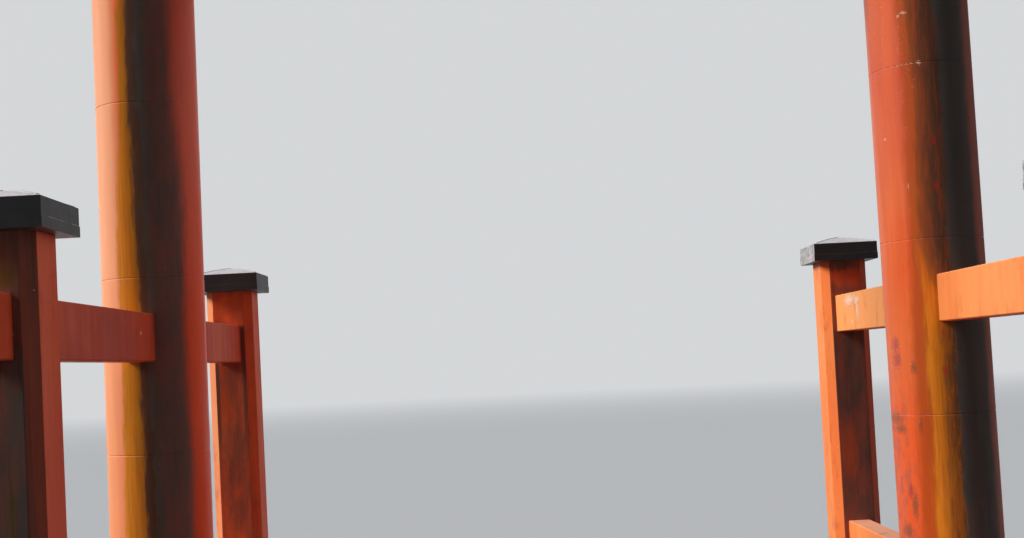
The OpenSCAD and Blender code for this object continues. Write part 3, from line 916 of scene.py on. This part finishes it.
POST_WEATHER_AND_LIGHT = {
    "front_left_post": WeatherAndLight(dirt_and_shade=0.97, wrap=0.80, clouds=0.14, chalk_sheen=0.3, painted_shade=0.35, moss=LEFT_MOSS),
    "back_left_post": WeatherAndLight(dirt_and_shade=0.66, wrap=0.2, clouds=0.60, chalk_sheen=1.0, painted_shade=0.35, soot_and_cap_shade=LEFT_SOOT,
                                 clean=LEFT_LIGHTER),
    "back_right_post": WeatherAndLight(dirt_and_shade=0.90, clouds=0.24, painted_shade=0.65, soot_and_cap_shade=RIGHT_SOOT_AND_CAP_SHADE, clean=RIGHT_LIGHTER),
    "front_right_post": WeatherAndLight(dirt_and_shade=0.86, clouds=0.24, painted_shade=0.55),
}


class GATE_OT_posts(bpy.types.Operator):
    """Paint the four bracing posts"""

    bl_idname = "gate.posts"
    bl_label = "Paint the posts"

    def execute(self, context):
        for name, weather_and_light in POST_WEATHER_AND_LIGHT.items():
            paint = plain_paint(context.scene.gate_paint, name + "_paint", tone=0.15, weather_and_light=weather_and_light)
            dress([name], paint)
        soften(named("_post"), width=0.005)
        return {"FINISHED"}


# Chips in the ties' paint, each with its centre and size: four on the right upper tie and one on the left
TIE_CHIPS = (
    ((TIE_FACE, 2.28, 3.55), (0.05, 0.17, 0.045)),
    ((TIE_FACE, 2.02, 3.54), (0.05, 0.09, 0.035)),
    ((TIE_FACE, 2.00, 3.44), (0.05, 0.035, 0.070)),
    ((TIE_FACE, 2.20, 3.33), (0.05, 0.030, 0.015)),
    ((-TIE_FACE, -0.76, 3.46), (0.05, 0.014, 0.014)),
)


class GATE_OT_ties(bpy.types.Operator):
    """Paint the ties that join posts and pillars"""

    bl_idname = "gate.ties"
    bl_label = "Paint the ties"

    def execute(self, context):
        # painted light on the weather side beyond the pillars, and painted shade on the right-facing side
        weather_and_light = WeatherAndLight(painted_light=0.75, painted_shade=0.8)
        paint = plain_paint(context.scene.gate_paint, "tie_paint", 0.22, weather_and_light, TIE_CHIPS)
        dress(named("_tie"), paint)
        soften(named("_tie"), width=0.003)
        return {"FINISHED"}


class GATE_OT_beam(bpy.types.Operator):
    """Paint the through beam, its wedges and the strut"""

    bl_idname = "gate.beam"
    bl_label = "Paint the beam"

    def execute(self, context):
        names = named("through_beam", "_wedge", "middle_strut")
        dress(names, plain_paint(context.scene.gate_paint, "beam_paint", tone=0.05))
        soften(names, width=0.004)
        return {"FINISHED"}


class GATE_OT_lintel(bpy.types.Operator):
    """Paint the double lintel"""

    bl_idname = "gate.lintel"
    bl_label = "Paint the lintel"

    def execute(self, context):
        dress(named("_lintel"), plain_paint(context.scene.gate_paint, "lintel_paint", tone=0.0))
        return {"FINISHED"}


# Height of a cap's hem, how much chalk and painted sky reflection shows on the sheet that faces less sky than
# the caps, and how much higher than a seam the ridge strip is
HEM_HEIGHT = 0.066
SHEET_CHALK_SHEEN = 0.4
RIDGE_RISE = 1.4


class GATE_OT_metal(bpy.types.Operator):
    """Finish the caps, the roof, the rings and the sleeves"""

    bl_idname = "gate.metal"
    bl_label = "Finish the metalwork"

    def execute(self, context):
        metal = context.scene.gate_metal
        # a painted highlight runs along the top of the caps' hems
        hem_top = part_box("front_left_post_cap")[0].z + HEM_HEIGHT
        dress(named("_cap"), metal_finish(metal, "cap_sheet", 1.0, hem_top))
        sheets = named("_ring_capital", "_sleeve", "_roof_end", "_roof_middle")
        dress(sheets, metal_finish(metal, "black_sheet", SHEET_CHALK_SHEEN))
        soften(named("_cap"), width=0.004)
        return {"FINISHED"}


class GATE_OT_roof_trim(bpy.types.Operator):
    """Fold the seams over the lintel's roof and its ridge"""

    bl_idname = "gate.roof_trim"
    bl_label = "Trim the roof"

    def execute(self, context):
        trim = context.scene.gate_trim
        black = metal_finish(context.scene.gate_metal, "seam_sheet", SHEET_CHALK_SHEEN)
        skin = merged_copy(named("_roof_end", "_roof_middle"))
        keep_faces(skin, lambda face: abs(face.normal.x) < 0.7 and face.normal.z > -0.5)
        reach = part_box("right_roof_end")[1].x
        count = round(2 * reach / trim.seam_pitch)
        seams = bmesh.new()
        for i in range(1, count):
            middle = reach * (2 * i / count - 1)
            strip = strip_along(skin, (middle, 0, 0), (0, -1, 0), trim.seam_width)
            thicken(strip, trim.seam_height)
            add_part(seams, strip)
        add_piece("roof_seams", seams, black)
        for side in (LEFT, RIGHT):
            cut_off(skin, (0, side * trim.ridge_width / 2, 0), (0, side, 0))
            cut_off(skin, (side * (reach - trim.ridge_short), 0, 0), (side, 0, 0))
        thicken(skin, trim.seam_height * RIDGE_RISE)
        add_piece("roof_ridge", skin, black)
        return {"FINISHED"}


class GATE_OT_cap_trim(bpy.types.Operator):
    """Fold the hips of the caps' roofs"""

    bl_idname = "gate.cap_trim"
    bl_label = "Trim the caps"

    def execute(self, context):
        trim = context.scene.gate_trim
        # painted sky reflection: the hips are pale all over
        sheet = metal_finish(context.scene.gate_metal, "hip_sheet", open_sky=True)
        hips = bmesh.new()
        for name in named("_cap"):
            middle = middle_of(name)
            skin = merged_copy([name])
            keep_faces(skin, lambda face: face.normal.z > 0.6)
            reach = (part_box(name)[1] - middle).xy.length - trim.hip_short
            for direction in ((1, 1, 0), (1, -1, 0)):
                strip = strip_along(skin, middle, direction, trim.hip_width)
                away = Vector(direction).normalized()
                for turn in (1, -1):
                    cut_off(strip, middle + away * (turn * reach), away * turn)
                thicken(strip, trim.hip_height)
                add_part(hips, strip)
            skin.free()
        add_piece("cap_hips", hips, sheet)
        return {"FINISHED"}


class GATE_OT_sleeve_trim(bpy.types.Operator):
    """Lap the sheet of the sleeves at their backs"""

    bl_idname = "gate.sleeve_trim"
    bl_label = "Trim the sleeves"

    def execute(self, context):
        trim = context.scene.gate_trim
        sheet = metal_finish(context.scene.gate_metal, "lap_sheet", SHEET_CHALK_SHEEN)
        laps = bmesh.new()
        for name in named("_sleeve"):
            middle = middle_of(name)
            skin = merged_copy([name])
            keep_faces(skin, lambda face: (face.calc_center_median() - middle).y > 0 and face.normal.y > 0.7)
            lap = strip_along(skin, middle, (0, 1, 0), trim.lap_width)
            thicken(lap, trim.lap_height)
            add_part(laps, lap)
            skin.free()
        add_piece("sleeve_laps", laps, sheet)
        return {"FINISHED"}


class GATE_OT_stones(bpy.types.Operator):
    """Finish the granite feet"""

    bl_idname = "gate.stones"
    bl_label = "Finish the stones"

    def execute(self, context):
        dress(named("_stone"), stone_finish(context.scene.gate_stone, "granite_foot"))
        soften(named("_post_stone"), width=0.010)
        return {"FINISHED"}


# Rays that see the floor and the surroundings as they are drawn, and the floor's colour to any other ray
SEEING_RAYS = ("Is Camera Ray", "Is Glossy Ray")
FLOOR_AS_LIGHT = (0.07, 0.07, 0.07)
FLOOR_SIDES = 96

# Bearing from the front, positive to the right, height and spread of the two broad lamps, in degrees
KEY_AIM = (-84, 33, 24)
FILL_AIM = (122, 18, 60)

# The strip lamp in front: its stand, length and depth in metres, spread in degrees and power in watts
WASH_STAND = (0, -16, 0.6)
WASH_LENGTH = 12
WASH_DEPTH = 1
WASH_SPREAD = 17
WASH_WATTS = 95

# Width of the camera's sensor in millimetres and the furthest that it sees in metres
SENSOR_WIDTH = 36
FAR_CLIP = 600


def floor_finish(stage):
    """Pale floor that runs out into the backdrop."""
    finish = Finish(bpy.data.materials.new("floor"))
    eye, mirror = finish.several(SEEING_RAYS, "ShaderNodeLightPath")
    seen = eye.at_least(mirror)
    colour = finish.mix(seen, FLOOR_AS_LIGHT, stage.floor_colour)
    matt = finish.node("ShaderNodeBsdfDiffuse", None, {"Color": colour})
    glow = finish.node("ShaderNodeEmission", None, {"Color": opaque(stage.backdrop), "Strength": 1.0})
    out = finish.measure("DISTANCE", finish.place, (0, 0, 0))
    far = finish.ramp(out, stage.floor_radius * 0.30, stage.floor_radius * 0.85)
    return finish.close(finish.node("ShaderNodeMixShader", None, {0: far * seen, 1: matt, 2: glow}))


def light_world(stage):
    """Even surroundings: pale to the eye and in reflections, dimmer as a light."""
    finish = Finish(bpy.data.worlds.new("surroundings"))
    bpy.context.scene.world = finish.owner
    eye, mirror = finish.several(SEEING_RAYS, "ShaderNodeLightPath")
    direction = finish.node("ShaderNodeTexCoord", output="Generated")
    gleam = finish.ramp(finish.along(direction, (-0.94, 0.34, 0.0)), -0.45, 0.55, 0.16, 1.05)
    gleam = gleam * finish.ramp(finish.along(direction, (0.20, -0.98, 0.0)), 0.2, 0.8, 1.0, 0.30)
    backdrop = opaque(stage.backdrop)
    lit = finish.node("ShaderNodeBackground", None, {"Color": (1, 1, 1, 1), "Strength": stage.ambient})
    reflected = finish.node("ShaderNodeBackground", None, {"Color": backdrop, "Strength": gleam})
    seen = finish.node("ShaderNodeBackground", None, {"Color": backdrop, "Strength": 1.0})
    shader = finish.node("ShaderNodeMixShader", None, {0: mirror, 1: lit, 2: reflected})
    shader = finish.node("ShaderNodeMixShader", None, {0: eye, 1: shader, 2: seen})
    finish.close(shader, "ShaderNodeOutputWorld")


def stand_lamp(lamp, stand, back):
    """Puts a lamp on its stand, with its back to a direction and out of sight in reflections."""
    holder = add_object(lamp.name, lamp)
    holder.location = stand
    holder.rotation_euler = back.to_track_quat("Z", "Y").to_euler()
    holder.visible_glossy = False
    return holder


def add_lamp(name, power, aim):
    """A broad distant lamp."""
    heading, height, spread = (math.radians(angle) for angle in aim)
    lamp = bpy.data.lights.new(name, "SUN")
    lamp.energy = power
    lamp.angle = spread
    level = math.cos(height)
    back = Vector((math.sin(heading) * level, -math.cos(heading) * level, math.sin(height)))
    stand_lamp(lamp, (0, 0, 0), back)


def add_wash(stage):
    """A long gridded strip on the floor in front, aimed up at the beam and the lintel."""
    lamp = bpy.data.lights.new("wash", "AREA")
    lamp.shape = "RECTANGLE"
    lamp.size = WASH_LENGTH
    lamp.size_y = WASH_DEPTH
    lamp.spread = math.radians(WASH_SPREAD)
    lamp.energy = WASH_WATTS * stage.wash_power
    holder = stand_lamp(lamp, WASH_STAND, Vector(WASH_STAND) - Vector((0, 0, GATE_TOP)))
    holder.visible_camera = False


def add_camera(stage):
    """The camera at the photograph's viewing angle."""
    camera = add_object("camera", bpy.data.cameras.new("camera"))
    camera.data.sensor_width = SENSOR_WIDTH
    camera.data.lens = stage.lens
    camera.data.shift_y = stage.lift
    camera.data.clip_end = FAR_CLIP
    level = math.cos(stage.tilt)
    ahead = Vector((math.sin(stage.turn) * level, math.cos(stage.turn) * level, math.sin(stage.tilt)))
    across = Vector((math.cos(stage.turn), -math.sin(stage.turn), 0))
    above = across.cross(ahead)
    cos = math.cos(stage.roll)
    sin = math.sin(stage.roll)
    axes = (across * cos - above * sin, above * cos + across * sin, -ahead)
    camera.matrix_world = Matrix.Translation(stage.eye) @ Matrix(axes).transposed().to_4x4()
    bpy.context.scene.camera = camera


class GATE_OT_stage(bpy.types.Operator):
    """Make the floor, the surroundings, the lamps and the camera"""

    bl_idname = "gate.stage"
    bl_label = "Set the stage"

    def execute(self, context):
        stage = context.scene.gate_stage
        shape = bmesh.new()
        bmesh.ops.create_circle(shape, cap_ends=True, radius=stage.floor_radius, segments=FLOOR_SIDES)
        floor = add_object("floor", as_mesh("floor", shape))
        floor.data.materials.append(floor_finish(stage))
        light_world(stage)
        add_lamp("key", stage.key_power, KEY_AIM)
        add_lamp("fill", stage.fill_power, FILL_AIM)
        add_wash(stage)
        add_camera(stage)
        context.scene.view_settings.view_transform = "Standard"
        return {"FINISHED"}


OPERATORS = (
    GATE_OT_stage, GATE_OT_pillars, GATE_OT_posts, GATE_OT_ties, GATE_OT_beam, GATE_OT_lintel, GATE_OT_metal,
    GATE_OT_roof_trim, GATE_OT_cap_trim, GATE_OT_sleeve_trim, GATE_OT_stones,
)


class GATE_PT_panel(bpy.types.Panel):
    """Lists the steps that dress the gate"""

    bl_label = "Gate"
    bl_space_type = "VIEW_3D"
    bl_region_type = "UI"
    bl_category = "Gate"

    def draw(self, context):
        for operator in OPERATORS:
            self.layout.operator(operator.bl_idname)


GROUPS = {
    "gate_paint": GatePaint,
    "gate_metal": GateMetal,
    "gate_stone": GateStone,
    "gate_trim": GateTrim,
    "gate_stage": GateStage,
}


def register():
    for group in GROUPS.values():
        bpy.utils.register_class(group)
    for name, group in GROUPS.items():
        setattr(bpy.types.Scene, name, PointerProperty(type=group))
    for operator in OPERATORS:
        bpy.utils.register_class(operator)
    bpy.utils.register_class(GATE_PT_panel)


def unregister():
    bpy.utils.unregister_class(GATE_PT_panel)
    for operator in reversed(OPERATORS):
        bpy.utils.unregister_class(operator)
    for name in GROUPS:
        delattr(bpy.types.Scene, name)
    for group in reversed(GROUPS.values()):
        bpy.utils.unregister_class(group)


def main():
    register()
    bpy.ops.gate.stage()
    bpy.ops.gate.pillars()
    bpy.ops.gate.posts()
    bpy.ops.gate.ties()
    bpy.ops.gate.beam()
    bpy.ops.gate.lintel()
    bpy.ops.gate.metal()
    bpy.ops.gate.roof_trim()
    bpy.ops.gate.cap_trim()
    bpy.ops.gate.sleeve_trim()
    bpy.ops.gate.stones()


if __name__ == "__main__":
    main()
